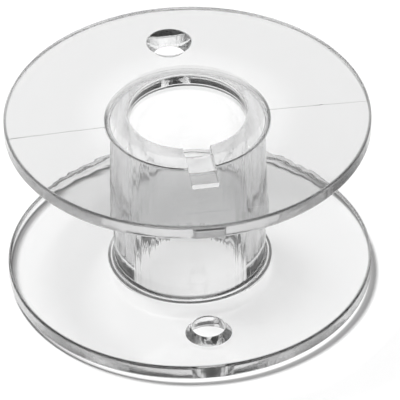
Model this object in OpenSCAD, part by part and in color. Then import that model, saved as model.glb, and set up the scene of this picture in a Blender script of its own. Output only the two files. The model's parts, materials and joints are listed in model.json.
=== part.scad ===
// Clear plastic sewing machine bobbin with two domed flanges on a hollow hub.
// It stands on the ring at the lower end of its hub, so +Z is the hub's axis.
// The origin is on that axis, at the plane the bobbin stands on.

/* [Hub] */
// Overall height, from one end face of the hub to the other
height = 11.05; // [9:0.05:14]
// Diameter of the bore that slides over the winder spindle
bore_d = 6.5; // [5:0.05:7]
// Outer diameter of the hub that the thread is wound on
hub_d = 8.5; // [8:0.1:11]
// Rounding of the two mouths of the bore
mouth_round = 0.2; // [0.1:0.05:0.3]

/* [Flanges] */
// Diameter of the flanges
flange_d = 20.3; // [18:0.1:24]
// Thickness of a flange at its rim
rim_t = 0.85; // [0.6:0.05:1.2]
// How far the outer face rises from the rim to the hub
crown = 0.23; // [0.1:0.01:0.5]
// Rounding of the corners of the rim
rim_round = 0.15; // [0.1:0.05:0.25]
// Radius of the cove where a flange meets the hub
cove_r = 0.35; // [0.2:0.05:0.6]

/* [Thread holes] */
// Distance from the axis to the centre of a thread hole
hole_pos = 6.6; // [6.2:0.1:7.4]
// Diameter of a thread hole at the flange's outer face
hole_outer_d = 2.5; // [2:0.1:2.8]
// Diameter of a thread hole at the flange's inner face
hole_inner_d = 1.8; // [1.2:0.1:2.5]

/* [Drive notch] */
// Width of the notch that the winder's key drops into
notch_w = 1.5; // [1:0.1:2]
// Distance from the axis to the far end of the notch
notch_reach = 6.55; // [6:0.05:7.5]
// Depth of the notch below the hub's end face
notch_depth = 0.7; // [0.4:0.05:0.9]

/* [Hidden] */

// Roundness of the turned surfaces
$fn = 128;
// Overlap that keeps a cut clear of the face it opens
over = 0.5;
// Upright edge left at the foot of the cove
cove_land = 0.05;

bore_r = bore_d / 2;
hub_r = hub_d / 2;
flange_r = flange_d / 2;
// Radius at which the dome ends and the rim's rounding begins
dome_end_r = flange_r - rim_round;
// Radius of the sphere that the outer face is part of
dome_r = (pow(dome_end_r, 2) - pow(hub_r, 2)) / (2 * crown);
// Height of that sphere's centre below the hub's end face
dome_drop = sqrt(pow(dome_r, 2) - pow(hub_r, 2));
// Depth of the flange's inner face below the hub's end face
flange_t = crown + rim_t;
// Growth of the thread hole's radius for each millimetre towards the outer face
hole_flare = (hole_outer_d - hole_inner_d) / 2 / flange_t;

// Half section of a flange, with the hub's end face at z = flange_t and the inner face at z = 0
module flange_section() {
    intersection() {
        translate([hub_r, 0]) square([dome_end_r - hub_r, flange_t]);
        translate([0, flange_t - dome_drop]) circle(r = dome_r, $fn = 720);
    }
    translate([dome_end_r, rim_round]) square([rim_round, rim_t - 2 * rim_round]);
    for (z = [rim_round, rim_t - rim_round]) translate([dome_end_r, z]) circle(r = rim_round);
    cove_section();
}

// Half section of the collar below the inner face, hollowed to a cove
module cove_section() {
    difference() {
        translate([hub_r, -cove_r - cove_land]) square([cove_r, cove_r + cove_land + rim_round]);
        translate([hub_r + cove_r, -cove_r - cove_land]) circle(r = cove_r);
    }
}

// Funnel cut for a thread hole, narrow at the inner face
module thread_hole_cut() {
    cylinder(
        h = flange_t + 2 * over,
        r1 = hole_inner_d / 2 - over * hole_flare,
        r2 = hole_outer_d / 2 + over * hole_flare
    );
}

// One flange with its inner face at z = 0, its outer face up and its thread hole at +Y
module flange() {
    difference() {
        rotate_extrude() flange_section();
        translate([0, hole_pos, -over]) thread_hole_cut();
    }
}

// Cut for the drive notch, from the bore towards -Y, with its floor at z = 0
module notch_cut() {
    translate([-notch_w / 2, -notch_reach, 0]) cube([notch_w, notch_reach, notch_depth + over]);
}

// Cut that rounds the mouth of the bore at z = 0, with the hub above it
module mouth_cut() {
    rotate_extrude() difference() {
        translate([0, -over]) square([bore_r + mouth_round, over + mouth_round]);
        translate([bore_r + mouth_round, mouth_round]) circle(r = mouth_round);
        translate([bore_r + mouth_round, -over]) square([mouth_round, over + mouth_round]);
    }
}

module hub() {
    color([0.93, 0.94, 0.95, 0.5]) difference() {
        cylinder(h = height, r = hub_r);
        translate([0, 0, -over]) cylinder(h = height + 2 * over, r = bore_r);
        mouth_cut();
        translate([0, 0, height]) mirror([0, 0, 1]) mouth_cut();
        translate([0, 0, height - notch_depth]) notch_cut();
    }
}

module upper_flange() {
    color([0.9, 0.92, 0.94, 0.4]) difference() {
        translate([0, 0, height - flange_t]) flange();
        translate([0, 0, height - notch_depth]) notch_cut();
    }
}

module lower_flange() {
    color([0.9, 0.92, 0.94, 0.4])
        translate([0, 0, flange_t]) rotate([180, 0, 0]) flange();
}

hub();
upper_flange();
lower_flange();
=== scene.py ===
import json
import math
from collections import namedtuple

import bpy
from mathutils import Matrix, Vector


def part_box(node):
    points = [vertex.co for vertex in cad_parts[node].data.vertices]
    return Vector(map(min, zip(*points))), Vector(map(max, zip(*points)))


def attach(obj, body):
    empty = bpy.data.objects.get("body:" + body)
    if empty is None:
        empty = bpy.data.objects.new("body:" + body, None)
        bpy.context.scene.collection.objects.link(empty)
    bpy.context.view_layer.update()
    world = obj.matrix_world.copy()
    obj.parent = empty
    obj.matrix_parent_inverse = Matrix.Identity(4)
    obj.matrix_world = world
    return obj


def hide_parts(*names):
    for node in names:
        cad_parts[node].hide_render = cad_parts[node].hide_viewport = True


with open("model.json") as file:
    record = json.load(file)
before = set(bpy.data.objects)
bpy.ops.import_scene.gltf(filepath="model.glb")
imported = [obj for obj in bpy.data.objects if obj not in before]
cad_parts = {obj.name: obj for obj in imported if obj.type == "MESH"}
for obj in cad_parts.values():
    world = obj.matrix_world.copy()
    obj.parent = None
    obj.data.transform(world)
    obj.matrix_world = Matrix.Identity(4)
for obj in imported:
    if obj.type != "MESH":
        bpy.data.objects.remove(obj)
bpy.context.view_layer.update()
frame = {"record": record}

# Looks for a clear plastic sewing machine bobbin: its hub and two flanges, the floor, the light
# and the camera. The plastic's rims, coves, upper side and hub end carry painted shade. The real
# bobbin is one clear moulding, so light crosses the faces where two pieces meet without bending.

MM = 0.001  # the sizes below are in millimetres, and Blender works in metres

# ---- Sizes ---------------------------------------------------------------------------------------

# The overall sizes and the bore come from the frame. The smaller ones repeat the CAD model's, or add
# detail that it leaves out.
hub_low, hub_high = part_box("hub")
flange_low, flange_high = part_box("upper_flange")
bore_mount = next(m for m in frame["record"]["mounts"] if m["name"] == "bore")

HEIGHT = round((hub_high.z - hub_low.z) / MM, 3)
HUB_R = round((hub_high.x - hub_low.x) / 2 / MM, 3)
FLANGE_R = round((flange_high.x - flange_low.x) / 2 / MM, 3)
BORE_R = bore_mount["dims"]["r_mm"]
MOUTH_ROUND = 0.2  # rounding of the bore's two mouths

RIM_T = 0.85  # thickness of a flange at its rim
CROWN = 0.23  # rise of a flange's outer face from rim to hub
RIM_ROUND = 0.15  # rounding of the rim's corners
FLANGE_T = RIM_T + CROWN  # a flange's thickness at the hub
DOME_END_R = FLANGE_R - RIM_ROUND
DOME_R = (DOME_END_R**2 - HUB_R**2) / (2 * CROWN)  # radius of the sphere that holds the outer face
DOME_DROP = math.sqrt(DOME_R**2 - HUB_R**2)  # depth of that sphere's centre below the hub's end

COVE_FRONT = 0.37  # radius of the cove left by the front half of the mould
COVE_BACK = 0.33  # and by its back half, which closed a little nearer the axis
COVE_LAND = 0.05  # upright edge round the outside of a cove
FLASH_RISE = 0.015  # height of the moulding line where the two halves met
FAINT_RISE = 0.003  # its height on the lower flange, where it hardly shows
FLASH_W = 0.05  # its width

HOLE_POS = 6.6  # distance of a thread hole from the axis
HOLE_OUTER_R = 1.25  # radius of a thread hole at the outer face
HOLE_INNER_R = 0.9  # and at the inner face
HOLE_LIP = 0.07  # rounding of its edges
HOLE_SIDES = 64  # steps round it

NOTCH_W = 1.5  # width of the drive notch
NOTCH_REACH = 6.55  # distance of its far end from the axis
NOTCH_DEPTH = 0.7  # depth of its floor below the hub's end
NOTCH_CORNER = 0.12  # rounding of its upright corners
NOTCH_LIP = 0.05  # rounding of its upper edges
CORNER_STEPS = 6  # steps round one of its corners

OVER = 0.4  # how far a cutting plug reaches past the flange's face that it opens
INTO_BORE = 0.8  # how far the notch's plug reaches into the bore
LIP_TURN = 80  # degrees that a rounded edge has turned where it meets the face, so that it cuts it cleanly
LIP_STEPS = 5  # steps across a rounded edge
COLUMNS = 256  # steps round a turned surface, apart from those of the moulding line
CLEAR, JOINED = 0, 1  # material slots: the plastic's skin, and the faces inside the moulding

# ---- Outlines ------------------------------------------------------------------------------------
# A section is a list of stretches. The solid lies to the left of the direction of travel.

Stretch = namedtuple("Stretch", "slot flash points normals")


def line(start, end, slot=CLEAR, flash=False, parts=1):
    """A straight stretch from start to end."""
    run, rise = end[0] - start[0], end[1] - start[1]
    length = math.hypot(run, rise)
    points = [(start[0] + run * i / parts, start[1] + rise * i / parts) for i in range(parts + 1)]
    return Stretch(slot, flash, points, [(rise / length, -run / length)] * (parts + 1))


def arc(centre, radius, first, last, parts, flash=False):
    """A round stretch between two angles in degrees. It is hollow where the angle falls."""
    side = 1 if last > first else -1
    angles = [math.radians(first + (last - first) * i / parts) for i in range(parts + 1)]
    points = [(centre[0] + radius * math.cos(a), centre[1] + radius * math.sin(a)) for a in angles]
    return Stretch(CLEAR, flash, points, [(side * math.cos(a), side * math.sin(a)) for a in angles])


def dome_height(r):
    """Height of a flange's outer side above its inner face, at a distance from the axis."""
    return FLANGE_T - DOME_DROP + math.sqrt(DOME_R**2 - max(r, HUB_R) ** 2)


def hub_section(cove):
    """Section of the hub. Its outer wall is joined to the flanges and their coves at both ends."""
    mouth = BORE_R + MOUTH_ROUND
    low_foot = FLANGE_T + COVE_LAND + cove
    high_foot = HEIGHT - low_foot
    return [
        line((mouth, 0), (HUB_R, 0)),
        line((HUB_R, 0), (HUB_R, low_foot), JOINED),
        line((HUB_R, low_foot), (HUB_R, high_foot), flash=True, parts=12),
        line((HUB_R, high_foot), (HUB_R, HEIGHT), JOINED),
        line((HUB_R, HEIGHT), (mouth, HEIGHT)),
        arc((mouth, HEIGHT - MOUTH_ROUND), MOUTH_ROUND, 90, 180, 6),
        line((BORE_R, HEIGHT - MOUTH_ROUND), (BORE_R, MOUTH_ROUND), parts=8),
        arc((mouth, MOUTH_ROUND), MOUTH_ROUND, 180, 270, 6),
    ]


def flange_section(cove):
    """Section of a flange with its inner face at height 0 and its outer face up."""
    foot = -COVE_LAND - cove
    dome_from = math.degrees(math.acos(DOME_END_R / DOME_R))
    dome_to = math.degrees(math.acos(HUB_R / DOME_R))
    return [
        line((HUB_R, FLANGE_T), (HUB_R, foot), JOINED),
        arc((HUB_R + cove, foot), cove, 180, 90, 8, flash=True),
        line((HUB_R + cove, -COVE_LAND), (HUB_R + cove, 0), flash=True),
        line((HUB_R + cove, 0), (DOME_END_R, 0), flash=True, parts=8),
        arc((DOME_END_R, RIM_ROUND), RIM_ROUND, -90, 0, 6, flash=True),
        line((FLANGE_R, RIM_ROUND), (FLANGE_R, RIM_T - RIM_ROUND)),
        arc((DOME_END_R, RIM_T - RIM_ROUND), RIM_ROUND, 0, 90, 6),
        arc((0, FLANGE_T - DOME_DROP), DOME_R, dome_from, dome_to, 12),
    ]


# ---- Meshes --------------------------------------------------------------------------------------


def mesh_object(name, points, faces):
    """An object from points in millimetres. A face is its corners, its slot and a true normal for each."""
    mesh = bpy.data.meshes.new(name)
    mesh.from_pydata([Vector(p) * MM for p in points], [], [corners for corners, _, _ in faces])
    mesh.polygons.foreach_set("material_index", [slot for _, slot, _ in faces])
    kept = mesh.attributes.new("skin_normal", "FLOAT_VECTOR", "CORNER")
    kept.data.foreach_set("vector", [x for _, _, normals in faces for n in normals for x in n])
    piece = bpy.data.objects.new(name, mesh)
    bpy.context.scene.collection.objects.link(piece)
    return piece


def column_places():
    """Where each column of a turned surface lies: its angle, how far past the moulding line it is, or None
    away from that line, and its half of the mould."""
    side = FLASH_W / 2
    sweep = [math.pi * (i + 0.5) / (COLUMNS // 2) for i in range(COLUMNS // 2)]
    right = [(0, -side, "front"), (0, 0, "front"), (0, side, "back")]
    left = [(math.pi, side, "back"), (math.pi, 0, "front"), (math.pi, -side, "front")]
    back = [(a, None, "back") for a in sweep]
    front = [(a + math.pi, None, "front") for a in sweep]
    return right + back + left + front


def turned(name, section_of, base=0.0, way=1, ridge=FLASH_RISE):
    """A closed ring turned round the axis. Its section stands on base, or hangs from it if way is -1."""
    sections = {"front": section_of(COVE_FRONT), "back": section_of(COVE_BACK)}
    places = column_places()
    points, faces = [], []
    for angle, past, half in places:
        stretches = sections[half]
        for i, stretch in enumerate(stretches):
            for k, ((r, z), (nr, nz)) in enumerate(zip(stretch.points[:-1], stretch.normals)):
                inner = k > 0 or stretches[i - 1].flash
                lift = ridge if past == 0 and stretch.flash and inner else 0.0
                r, z = r + nr * lift, z + nz * lift
                if past is None:
                    x, y = r * math.cos(angle), r * math.sin(angle)
                else:
                    x, y = math.cos(angle) * math.sqrt(r * r - past * past), past
                points.append((x, y, base + way * z))
    count = len(points) // len(places)
    for c, (_, past, half) in enumerate(places):
        d = (c + 1) % len(places)
        lean = flash_lean(past, places[d][1], ridge)
        k = 0
        for stretch in sections[half]:
            for j in range(len(stretch.points) - 1):
                e = (k + 1) % count
                corners = [c * count + k, d * count + k, d * count + e, c * count + e]
                tilt = lean if stretch.flash else 0.0
                near, far = stretch.normals[j], stretch.normals[j + 1]
                flat = [near, near, far, far]
                normals = [round_normal(points[p], n, way, tilt) for p, n in zip(corners, flat)]
                faces.append((corners, stretch.slot, normals))
                k += 1
    if way < 0:
        faces = [(corners[::-1], slot, normals[::-1]) for corners, slot, normals in faces]
    return mesh_object(name, points, faces)


def flash_lean(past, next_past, ridge):
    """How much the strip between two columns leans along Y. Only the sides of the moulding line do."""
    if past is None or next_past is None:
        return 0.0
    return math.copysign(2 * ridge / FLASH_W, past + next_past)


def round_normal(point, normal, way, tilt):
    """The normal at a point of a turned surface, from the section's normal."""
    r = math.hypot(point[0], point[1])
    across = Vector((point[0] / r * normal[0], point[1] / r * normal[0] + tilt, way * normal[1]))
    return across.normalized()


def plug_normal(outward, normal, way):
    """The normal at a point of a plug's side, from its outward direction in plan and its profile's normal."""
    return Vector((outward[0] * normal[0], outward[1] * normal[0], way * normal[1])).normalized()


def plug(name, outline, profile, base, way):
    """A closed plug that cuts a hole. outline holds points and outward directions in plan. profile holds
    stretches of (offset, height, 1 if the height is from the domed face) from the bottom up."""
    points, faces = [], []
    levels = [p for s in profile for p in s.points[:-1]] + [profile[-1].points[-1]]
    for offset, height, domed in levels:
        for (x, y), (nx, ny) in outline:
            px, py = x + nx * offset, y + ny * offset
            face = dome_height(math.hypot(px, py)) if domed else 0.0
            points.append((px, py, base + way * (height + face)))
    count = len(outline)
    k = 0
    for stretch in profile:
        for j in range(len(stretch.points) - 1):
            low, high = stretch.normals[j], stretch.normals[j + 1]
            for c in range(count):
                d = (c + 1) % count
                corners = [k * count + c, k * count + d, (k + 1) * count + d, (k + 1) * count + c]
                outward = [outline[c][1], outline[d][1], outline[d][1], outline[c][1]]
                normals = [plug_normal(o, n, way) for o, n in zip(outward, [low, low, high, high])]
                faces.append((corners, CLEAR, normals))
            k += 1
    bottom = list(reversed(range(count)))
    lid = [k * count + c for c in range(count)]
    faces.append((bottom, CLEAR, [Vector((0, 0, way))] * count))
    faces.append((lid, CLEAR, [Vector((0, 0, -way))] * count))
    if way < 0:
        faces = [(corners[::-1], slot, normals[::-1]) for corners, slot, normals in faces]
    return mesh_object(name, points, faces)


def plug_line(start, end):
    """A straight stretch of a plug's side. Its normal is that of the wall it leaves, towards the hole."""
    run = end[0] - start[0]
    rise = end[1] + end[2] * FLANGE_T - start[1] - start[2] * FLANGE_T
    length = math.hypot(run, rise)
    return Stretch(CLEAR, False, [start, end], [(-rise / length, run / length)] * 2)


def plug_lip(radius, offset, domed, first, last):
    """A rounded edge of a plug's side. domed is 1 at the domed face and 0 at the inner face."""
    crossing = radius * math.sin(math.radians(LIP_TURN))
    middle = -crossing if domed else crossing
    angles = [math.radians(first + (last - first) * i / LIP_STEPS) for i in range(LIP_STEPS + 1)]
    points = [(offset + radius + radius * math.cos(a), middle + radius * math.sin(a), domed) for a in angles]
    return Stretch(CLEAR, False, points, [(math.cos(a), math.sin(a)) for a in angles])


def thread_hole(name, y, base, way):
    """The funnel of a thread hole, narrow at the flange's inner face."""
    angles = [2 * math.pi * i / HOLE_SIDES for i in range(HOLE_SIDES)]
    outline = [((0, y), (math.cos(a), math.sin(a))) for a in angles]
    low = plug_lip(HOLE_LIP, HOLE_INNER_R, 0, 270, 180)
    high = plug_lip(HOLE_LIP, HOLE_OUTER_R, 1, 180, 90)
    below = low.points[0]
    above = high.points[-1]
    profile = [
        plug_line((below[0], below[1] - OVER, 0), below),
        low,
        plug_line(low.points[-1], high.points[0]),
        high,
        plug_line(above, (above[0], above[1] + OVER, 1)),
    ]
    return plug(name, outline, profile, base, way)


def drive_notch(name):
    """The slot across the hub's upper end and into the upper flange, towards -Y."""
    half, corner = NOTCH_W / 2, NOTCH_CORNER
    inner_end = -BORE_R + INTO_BORE
    outline = [((half, inner_end), (1, 0)), ((-half, inner_end), (-1, 0))]
    for side, first in ((-1, 180), (1, 270)):
        for i in range(CORNER_STEPS + 1):
            a = math.radians(first + 90 * i / CORNER_STEPS)
            way = (math.cos(a), math.sin(a))
            middle = (side * (half - corner), -NOTCH_REACH + corner)
            outline.append(((middle[0] + corner * way[0], middle[1] + corner * way[1]), way))
    high = plug_lip(NOTCH_LIP, 0, 1, 180, 90)
    above = high.points[-1]
    profile = [
        plug_line((0, FLANGE_T - NOTCH_DEPTH, 0), high.points[0]),
        high,
        plug_line(above, (above[0], above[1] + OVER, 1)),
    ]
    return plug(name, outline, profile, HEIGHT - FLANGE_T, 1)


def cut(piece, *plugs):
    """Takes the plugs out of the piece, and gives what is left the true normals of its surfaces."""
    for tool in plugs:
        step = piece.modifiers.new(tool.name, "BOOLEAN")
        step.operation = "DIFFERENCE"
        step.solver = "EXACT"
        step.object = tool
    graph = bpy.context.evaluated_depsgraph_get()
    made = bpy.data.meshes.new_from_object(piece.evaluated_get(graph))
    piece.modifiers.clear()
    piece.data = made
    normals = [Vector(a.vector).normalized() for a in made.attributes["skin_normal"].data]
    made.polygons.foreach_set("use_smooth", [True] * len(made.polygons))
    made.normals_split_custom_set(normals)
    made.attributes.remove(made.attributes["skin_normal"])


upper_base = HEIGHT - FLANGE_T
hub = turned("hub_clear", hub_section)
upper = turned("upper_flange_clear", flange_section, base=upper_base)
lower = turned("lower_flange_clear", flange_section, base=FLANGE_T, way=-1, ridge=FAINT_RISE)
upper_plug = thread_hole("upper_hole_plug", HOLE_POS, upper_base, 1)
lower_plug = thread_hole("lower_hole_plug", -HOLE_POS, FLANGE_T, -1)
notch_plug = drive_notch("notch_plug")
cut(hub, notch_plug)
cut(upper, upper_plug, notch_plug)
cut(lower, lower_plug)
for tool in (upper_plug, lower_plug, notch_plug):
    bpy.data.objects.remove(tool)

# ---- Materials -----------------------------------------------------------------------------------
# Masks run from 0 to 1 over the plastic. A ramp is where a mask starts and ends, in millimetres.

PLASTIC = (0.985, 0.986, 0.987, 1)
# the colour that painted shade darkens the plastic towards
BLACK = (0, 0, 0, 1)
PLASTIC_IOR = 1.55

RIM_RAMP = (FLANGE_R - 0.2, FLANGE_R - 0.1)  # radii over which the rim's band, with its painted shade, comes in
WALL_RAMP = (FLANGE_R - 0.035, FLANGE_R - 0.01)  # radii from the rim's rounded corners to its wall
RIM_BACK_RAMP = (0, 8)  # places along Y over which the rim's painted shade fades
RIM_SHADE = 0.8  # how much painted shade darkens the rim's rounded corners
WALL_SHADE = 0.45  # and painted shade on the rim's wall
RIM_SHADE_KEPT = 0.3  # share of that painted shade kept at the back
RIM_ROUGH = 0.12

COVE_IN_RAMP = (HUB_R - 0.02, HUB_R + 0.03)  # radii over which a cove's band of painted shade comes in
COVE_OUT_RAMP = (HUB_R + COVE_BACK - 0.03, HUB_R + COVE_FRONT)  # and over which it goes out
COVE_BACK_RAMP = (0.5, 3.5)  # places along Y over which it fades
COVE_LINE_R = HUB_R + 0.14  # radius of the painted highlight line along it
COVE_LINE_RAMP = (0.02, 0.06)  # distances from that line over which the band comes back
INNER_FACE = HEIGHT / 2 - FLANGE_T  # distance of a flange's inner face from the bobbin's middle
INNER_RAMP = (INNER_FACE + 0.05, INNER_FACE + 0.2)  # distances over which the band ends in the flange
COVE_SHADE = 0.93  # how dark the painted shade in a cove's band is
HIGHLIGHT_SHADE_KEPT = 0.1  # share of that painted shade kept on its painted highlight line
COVE_SHADE_KEPT = 0.25  # and share of the painted shade kept at the back

UPPER_RAMP = (HEIGHT / 2 - 1, HEIGHT / 2 + 1)  # heights over which the upper side's painted shade comes in
UPPER_HUB_RAMP = (HUB_R, HUB_R + 2.5)  # radii over which it grows
UPPER_SHADE = 0.13  # how much painted shade darkens the upper side
HUB_SHADE_SHARE = 0.35  # share of that painted shade at the hub

RING_RAMP = (HUB_R + 0.02, HUB_R - 0.03)  # radii over which the ring at the hub's upper end comes in
RING_TOP_RAMP = (HEIGHT - 0.4, HEIGHT - 0.3)  # and heights
# painted shade on the ring at the hub's upper end
RING_SHADE = 0.2
RING_ROUGH = 0.2

RIPPLE_SCALE, RIPPLE_DETAIL, RIPPLE_HEIGHT = 420, 2, 2.0  # the faint unevenness of the moulded faces
RIB_STRETCH, RIB_DETAIL, RIB_HEIGHT = (2600, 2600, 40), 3, 5.0  # upright ribs on the upright walls
UPRIGHT_FROM, UPRIGHT_TO = 0.3, 0.8  # slopes (the normal's Z) over which the ribs end
SCRATCH_TURN, SCRATCH_STRETCH = (0.2, 0.1, 0.6), (60, 5200, 400)
SCRATCH_FROM, SCRATCH_TO = 0.72, 0.8  # values of the noise over which a scratch starts
SPECK_SCALE, SPECK_FROM, SPECK_TO = 700, 0.02, 0.05  # a speck ends over these distances from its middle
MARK_HEIGHT = 0.2
MARK_ROUGH = 0.25
BUMP_STRENGTH = 0.5
BUMP_DEPTH = 0.00001  # in metres, for a height of 1

SHADOW_FACING = 0.995  # how much light a shadow ray keeps where it meets the plastic face on
SHADOW_EDGE = 0.85  # and where it grazes it
SHADOW_TURN = 0.3  # how far from face on it starts to lose light
SHADOW_RIM = 0.35  # share of that light that it keeps at a rim


class Nodes:
    """Short names for building a node tree."""

    def __init__(self, owner):
        owner.use_nodes = True
        self.tree = owner.node_tree
        self.tree.nodes.clear()

    def add(self, kind, **settings):
        node = self.tree.nodes.new(kind)
        for key, value in settings.items():
            setattr(node, key, value)
        return node

    def link(self, out, into):
        self.tree.links.new(out, into)

    def math(self, operation, first, second=None):
        """A sum, product or other function of one or two values, which are outputs or numbers."""
        node = self.add("ShaderNodeMath", operation=operation)
        for i, value in enumerate((first, second)):
            if isinstance(value, (int, float)):
                node.inputs[i].default_value = value
            elif value is not None:
                self.link(value, node.inputs[i])
        return node.outputs[0]

    def combine(self, operation, first, *others):
        """Any number of values taken together, such as a product or the greatest of them."""
        for other in others:
            first = self.math(operation, first, other)
        return first

    def span(self, value, low, high, to_low, to_high, smooth=True):
        """The value as it goes from low to high, turned into one from to_low to to_high."""
        node = self.add("ShaderNodeMapRange", interpolation_type="SMOOTHSTEP" if smooth else "LINEAR")
        self.link(value, node.inputs["Value"])
        for key, number in zip(("From Min", "From Max", "To Min", "To Max"), (low, high, to_low, to_high)):
            node.inputs[key].default_value = number
        return node.outputs[0]

    def ramp(self, place, ends, to_low, to_high):
        """A span over a ramp, which is given in millimetres."""
        return self.span(place, ends[0] * MM, ends[1] * MM, to_low, to_high)

    def noise(self, place, scale, detail):
        node = self.add("ShaderNodeTexNoise")
        self.link(place, node.inputs["Vector"])
        node.inputs["Scale"].default_value = scale
        node.inputs["Detail"].default_value = detail
        return node.outputs[0]

    def stretch(self, place, scale, turn=(0, 0, 0)):
        """The place turned, and scaled along each axis."""
        node = self.add("ShaderNodeMapping")
        self.link(place, node.inputs["Vector"])
        node.inputs["Rotation"].default_value = turn
        node.inputs["Scale"].default_value = scale
        return node.outputs[0]


def ring_mask(n, radius, z):
    """The flat ring at the hub's upper end."""
    return n.combine("MULTIPLY", n.ramp(radius, RING_RAMP, 0, 1), n.ramp(z, RING_TOP_RAMP, 0, 1))


def cove_shade_mask(n, radius, y, z):
    """Painted shade in the coves where the flanges meet the hub, weaker at the back and on a painted
    highlight line along them.
    """
    cove = n.combine("MULTIPLY", n.ramp(radius, COVE_IN_RAMP, 0, 1), n.ramp(radius, COVE_OUT_RAMP, 1, 0))
    from_line = n.math("ABSOLUTE", n.math("SUBTRACT", radius, COVE_LINE_R * MM))
    beside_line = n.ramp(from_line, COVE_LINE_RAMP, HIGHLIGHT_SHADE_KEPT, 1)
    front_half = n.ramp(y, COVE_BACK_RAMP, 1, COVE_SHADE_KEPT)
    from_middle = n.math("ABSOLUTE", n.math("SUBTRACT", z, HEIGHT / 2 * MM))
    between = n.ramp(from_middle, INNER_RAMP, 1, 0)
    return n.combine("MULTIPLY", cove, beside_line, front_half, between)


def painted_shade(n, radius, y, z, rim, end_ring):
    """How much painted shade darkens the plastic's own colour, from 0 to 1."""
    rim_shade_depth = n.ramp(radius, WALL_RAMP, RIM_SHADE, WALL_SHADE)
    painted_rim_shade = n.combine("MULTIPLY", rim, rim_shade_depth, n.ramp(y, RIM_BACK_RAMP, 1, RIM_SHADE_KEPT))
    painted_cove_shade = n.math("MULTIPLY", cove_shade_mask(n, radius, y, z), COVE_SHADE)
    from_hub = n.ramp(radius, UPPER_HUB_RAMP, HUB_SHADE_SHARE, 1)
    painted_upper_shade = n.math("MULTIPLY", from_hub, n.ramp(z, UPPER_RAMP, 0, UPPER_SHADE))
    painted_ring_shade = n.math("MULTIPLY", end_ring, RING_SHADE)
    return n.combine("MAXIMUM", painted_rim_shade, painted_cove_shade, painted_upper_shade, painted_ring_shade)


def wear_marks(n, place):
    """Fine scratches and specks."""
    scratch = n.noise(n.stretch(place, SCRATCH_STRETCH, SCRATCH_TURN), 1, 1)
    speck = n.add("ShaderNodeTexVoronoi", feature="F1")
    n.link(place, speck.inputs["Vector"])
    speck.inputs["Scale"].default_value = SPECK_SCALE
    return n.math(
        "MAXIMUM",
        n.span(scratch, SCRATCH_FROM, SCRATCH_TO, 0, 1),
        n.span(speck.outputs["Distance"], SPECK_FROM, SPECK_TO, 1, 0),
    )


def uneven_normal(n, place, marks):
    """The plastic's normal, bent by its ripple, by the marks, and by the ribs of its upright walls."""
    facing = n.add("ShaderNodeSeparateXYZ")
    n.link(n.add("ShaderNodeNewGeometry").outputs["Normal"], facing.inputs[0])
    upright = n.span(n.math("ABSOLUTE", facing.outputs["Z"]), UPRIGHT_FROM, UPRIGHT_TO, 1, 0)
    ripple = n.math("MULTIPLY", n.noise(place, RIPPLE_SCALE, RIPPLE_DETAIL), RIPPLE_HEIGHT)
    ribs = n.combine("MULTIPLY", n.noise(n.stretch(place, RIB_STRETCH), 1, RIB_DETAIL), upright, RIB_HEIGHT)
    bump = n.add("ShaderNodeBump")
    bump.inputs["Strength"].default_value = BUMP_STRENGTH
    bump.inputs["Distance"].default_value = BUMP_DEPTH
    n.link(n.combine("ADD", ripple, n.math("MULTIPLY", marks, MARK_HEIGHT), ribs), bump.inputs["Height"])
    return bump.outputs[0]


def plastic_shadow(n, rim):
    """What a shadow ray meets: nearly clear plastic, darker at the rims and where the ray grazes it."""
    edge = n.add("ShaderNodeLayerWeight")
    edge.inputs["Blend"].default_value = 0.5
    grazed = n.span(edge.outputs["Facing"], SHADOW_TURN, 1, SHADOW_FACING, SHADOW_EDGE)
    kept = n.math("MULTIPLY", grazed, n.span(rim, 0, 1, 1, SHADOW_RIM, smooth=False))
    tone = n.add("ShaderNodeCombineColor")
    for channel in tone.inputs:
        n.link(kept, channel)
    shade = n.add("ShaderNodeBsdfTransparent")
    n.link(tone.outputs[0], shade.inputs["Color"])
    return shade.outputs[0]


def clear_plastic(name):
    """Clear colourless plastic with a light shadow. Painted shade darkens its rims, coves, upper side and the
    ring at the hub's end.
    """
    material = bpy.data.materials.new(name)
    n = Nodes(material)
    place = n.add("ShaderNodeTexCoord").outputs["Object"]
    axes = n.add("ShaderNodeSeparateXYZ")
    n.link(place, axes.inputs[0])
    x, y, z = axes.outputs
    radius = n.math("SQRT", n.math("ADD", n.math("POWER", x, 2.0), n.math("POWER", y, 2.0)))
    rim = n.ramp(radius, RIM_RAMP, 0, 1)
    end_ring = ring_mask(n, radius, z)
    marks = wear_marks(n, place)

    # The plastic's own colour, darkened towards black by painted shade.
    shaded_colour = n.add("ShaderNodeMix", data_type="RGBA")
    n.link(painted_shade(n, radius, y, z, rim, end_ring), shaded_colour.inputs[0])
    shaded_colour.inputs[6].default_value = PLASTIC  # 6 and 7 are the two colours, and the output 2 is their mix
    shaded_colour.inputs[7].default_value = BLACK
    rough = n.combine(
        "MAXIMUM",
        n.math("MULTIPLY", marks, MARK_ROUGH),
        n.math("MULTIPLY", rim, RIM_ROUGH),
        n.math("MULTIPLY", end_ring, RING_ROUGH),
    )
    skin = n.add("ShaderNodeBsdfPrincipled")
    skin.inputs["IOR"].default_value = PLASTIC_IOR
    skin.inputs["Transmission Weight"].default_value = 1
    n.link(shaded_colour.outputs[2], skin.inputs["Base Color"])
    n.link(rough, skin.inputs["Roughness"])
    n.link(uneven_normal(n, place, marks), skin.inputs["Normal"])

    path = n.add("ShaderNodeLightPath")
    mix = n.add("ShaderNodeMixShader")
    n.link(path.outputs["Is Shadow Ray"], mix.inputs[0])
    n.link(skin.outputs[0], mix.inputs[1])
    n.link(plastic_shadow(n, rim), mix.inputs[2])
    n.link(mix.outputs[0], n.add("ShaderNodeOutputMaterial").inputs["Surface"])
    return material


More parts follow.
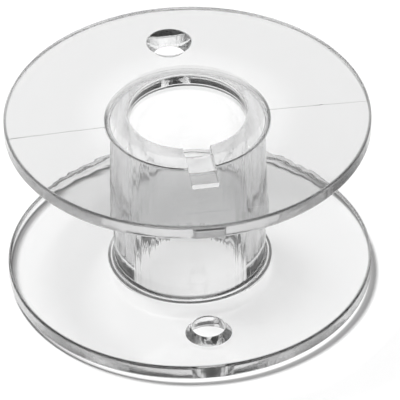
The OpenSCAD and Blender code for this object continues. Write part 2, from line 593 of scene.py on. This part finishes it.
def inside_face(name):
    """The faces where two pieces of the moulding meet, which light crosses unbent."""
    material = bpy.data.materials.new(name)
    n = Nodes(material)
    through = n.add("ShaderNodeBsdfTransparent")
    n.link(through.outputs[0], n.add("ShaderNodeOutputMaterial").inputs["Surface"])
    return material


plastic = clear_plastic("clear_plastic")
joined = inside_face("inside_the_moulding")
for piece, node in ((hub, "hub"), (upper, "upper_flange"), (lower, "lower_flange")):
    piece.data.materials.append(plastic)
    piece.data.materials.append(joined)
    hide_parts(node)
    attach(piece, "root")

# ---- Floor ---------------------------------------------------------------------------------------

FLOOR_R = 0.4
FLOOR_GAP = 0.00003  # the bobbin stands this far above the floor, so that the two faces stay apart
FLOOR_TONE = (0.93, 0.93, 0.93, 1)
FLOOR_IOR = 1.5
FLOOR_ROUGH = 0.13
FLOOR_SIDES = 96
FADE_FROM, FADE_TO = 0.4, 0.98  # shares of its radius between which it fades into the background


def glossy_floor():
    """A pale, softly polished table top that fades out towards its edge."""
    material = bpy.data.materials.new("pale_floor")
    n = Nodes(material)
    place = n.add("ShaderNodeTexCoord").outputs["Object"]
    skin = n.add("ShaderNodeBsdfPrincipled")
    skin.inputs["Base Color"].default_value = FLOOR_TONE
    skin.inputs["IOR"].default_value = FLOOR_IOR
    skin.inputs["Roughness"].default_value = FLOOR_ROUGH
    length = n.add("ShaderNodeVectorMath", operation="LENGTH")
    n.link(place, length.inputs[0])
    fade = n.span(length.outputs["Value"], FLOOR_R * FADE_FROM, FLOOR_R * FADE_TO, 0, 1)
    mix = n.add("ShaderNodeMixShader")
    n.link(fade, mix.inputs[0])
    n.link(skin.outputs[0], mix.inputs[1])
    n.link(n.add("ShaderNodeBsdfTransparent").outputs[0], mix.inputs[2])
    n.link(mix.outputs[0], n.add("ShaderNodeOutputMaterial").inputs["Surface"])
    return material


floor_angles = [2 * math.pi * i / FLOOR_SIDES for i in range(FLOOR_SIDES)]
floor_edge = [(FLOOR_R * math.cos(a), FLOOR_R * math.sin(a), 0) for a in floor_angles]
floor_mesh = bpy.data.meshes.new("floor")
floor_mesh.from_pydata(floor_edge, [], [list(range(FLOOR_SIDES))])
floor = bpy.data.objects.new("floor", floor_mesh)
bpy.context.scene.collection.objects.link(floor)
floor.location.z = -FLOOR_GAP
floor_mesh.materials.append(glossy_floor())

# ---- Light ---------------------------------------------------------------------------------------

WALLS = 0.9  # brightness of the room's low walls
CEILING = 0.03  # and of the room above them
WALL_TOP = math.radians(12)  # elevation where the walls start to darken
CEILING_FROM = math.radians(20)  # and where they have
BACKDROP = 1.0  # brightness of the room where the camera sees it behind the bobbin
KEY_PLACE = Vector((-0.165, 0.14, 0.59))
KEY_SIZE = 0.16
KEY_POWER = 5.1

scene = bpy.context.scene
world = bpy.data.worlds.new("studio")
scene.world = world
n = Nodes(world)
direction = n.add("ShaderNodeTexCoord").outputs["Generated"]
parts = n.add("ShaderNodeSeparateXYZ")
n.link(direction, parts.inputs[0])
room = n.span(parts.outputs["Z"], math.sin(WALL_TOP), math.sin(CEILING_FROM), WALLS, CEILING)
path = n.add("ShaderNodeLightPath")
seen = n.add("ShaderNodeMix", data_type="FLOAT")
n.link(path.outputs["Is Camera Ray"], seen.inputs[0])
n.link(room, seen.inputs[2])
seen.inputs[3].default_value = BACKDROP
sky = n.add("ShaderNodeBackground")
sky.inputs["Color"].default_value = (1, 1, 1, 1)
n.link(seen.outputs[0], sky.inputs["Strength"])
n.link(sky.outputs[0], n.add("ShaderNodeOutputWorld").inputs["Surface"])


def softbox(name, place, size, power):
    """A square soft light that faces the bobbin. Reflections and the clear plastic don't show it."""
    light = bpy.data.lights.new(name, "AREA")
    light.size = size
    light.energy = power
    lamp = bpy.data.objects.new(name, light)
    scene.collection.objects.link(lamp)
    lamp.location = place
    lamp.visible_glossy = False
    lamp.visible_transmission = False
    to_bobbin = Vector((0, 0, HEIGHT / 2 * MM)) - lamp.location
    lamp.rotation_euler = to_bobbin.to_track_quat("-Z", "Y").to_euler()


softbox("key", KEY_PLACE, KEY_SIZE, KEY_POWER)

# ---- Camera --------------------------------------------------------------------------------------

VIEW_ELEVATION = math.radians(37.1)  # of the line from the upper rim's centre to the camera
VIEW_AZIMUTH = math.radians(-8.3)
VIEW_ROLL = math.radians(1.06)
VIEW_DISTANCE = 0.4  # the length of that line
FRAME_RIGHT = 0.697 * MM  # how far right of the upper rim's centre the frame's middle is
FRAME_DOWN = 4.715 * MM  # and how far down
FRAME_W = 22.04 * MM  # what the frame's width spans at that distance
SENSOR_W = 36
BOUNCES = 24  # a ray crosses many faces of the clear plastic
CLEAR_BOUNCES = 32  # and many of the faces inside it

look = Vector((
    -math.sin(VIEW_AZIMUTH) * math.cos(VIEW_ELEVATION),
    math.cos(VIEW_AZIMUTH) * math.cos(VIEW_ELEVATION),
    -math.sin(VIEW_ELEVATION),
))
level = Vector((math.cos(VIEW_AZIMUTH), math.sin(VIEW_AZIMUTH), 0))
right = Matrix.Rotation(VIEW_ROLL, 3, look) @ level
up_way = right.cross(look)
rim_centre = Vector((0, 0, (HEIGHT - CROWN) * MM))
eye = rim_centre - look * VIEW_DISTANCE
aim = rim_centre + right * FRAME_RIGHT - up_way * FRAME_DOWN
axis = (aim - eye).normalized()
side = (right - axis * right.dot(axis)).normalized()
camera = bpy.data.cameras.new("camera")
camera.sensor_width = SENSOR_W
camera.lens = camera.sensor_width * VIEW_DISTANCE / FRAME_W
camera.clip_start = 0.01
shot = bpy.data.objects.new("camera", camera)
scene.collection.objects.link(shot)
shot.matrix_world = Matrix.Translation(eye) @ Matrix((side, side.cross(axis), -axis)).transposed().to_4x4()
scene.camera = shot

scene.view_settings.view_transform = "Standard"
scene.cycles.max_bounces = BOUNCES
scene.cycles.transmission_bounces = BOUNCES
scene.cycles.glossy_bounces = BOUNCES
scene.cycles.transparent_max_bounces = CLEAR_BOUNCES
scene.cycles.caustics_refractive = False
scene.cycles.caustics_reflective = False
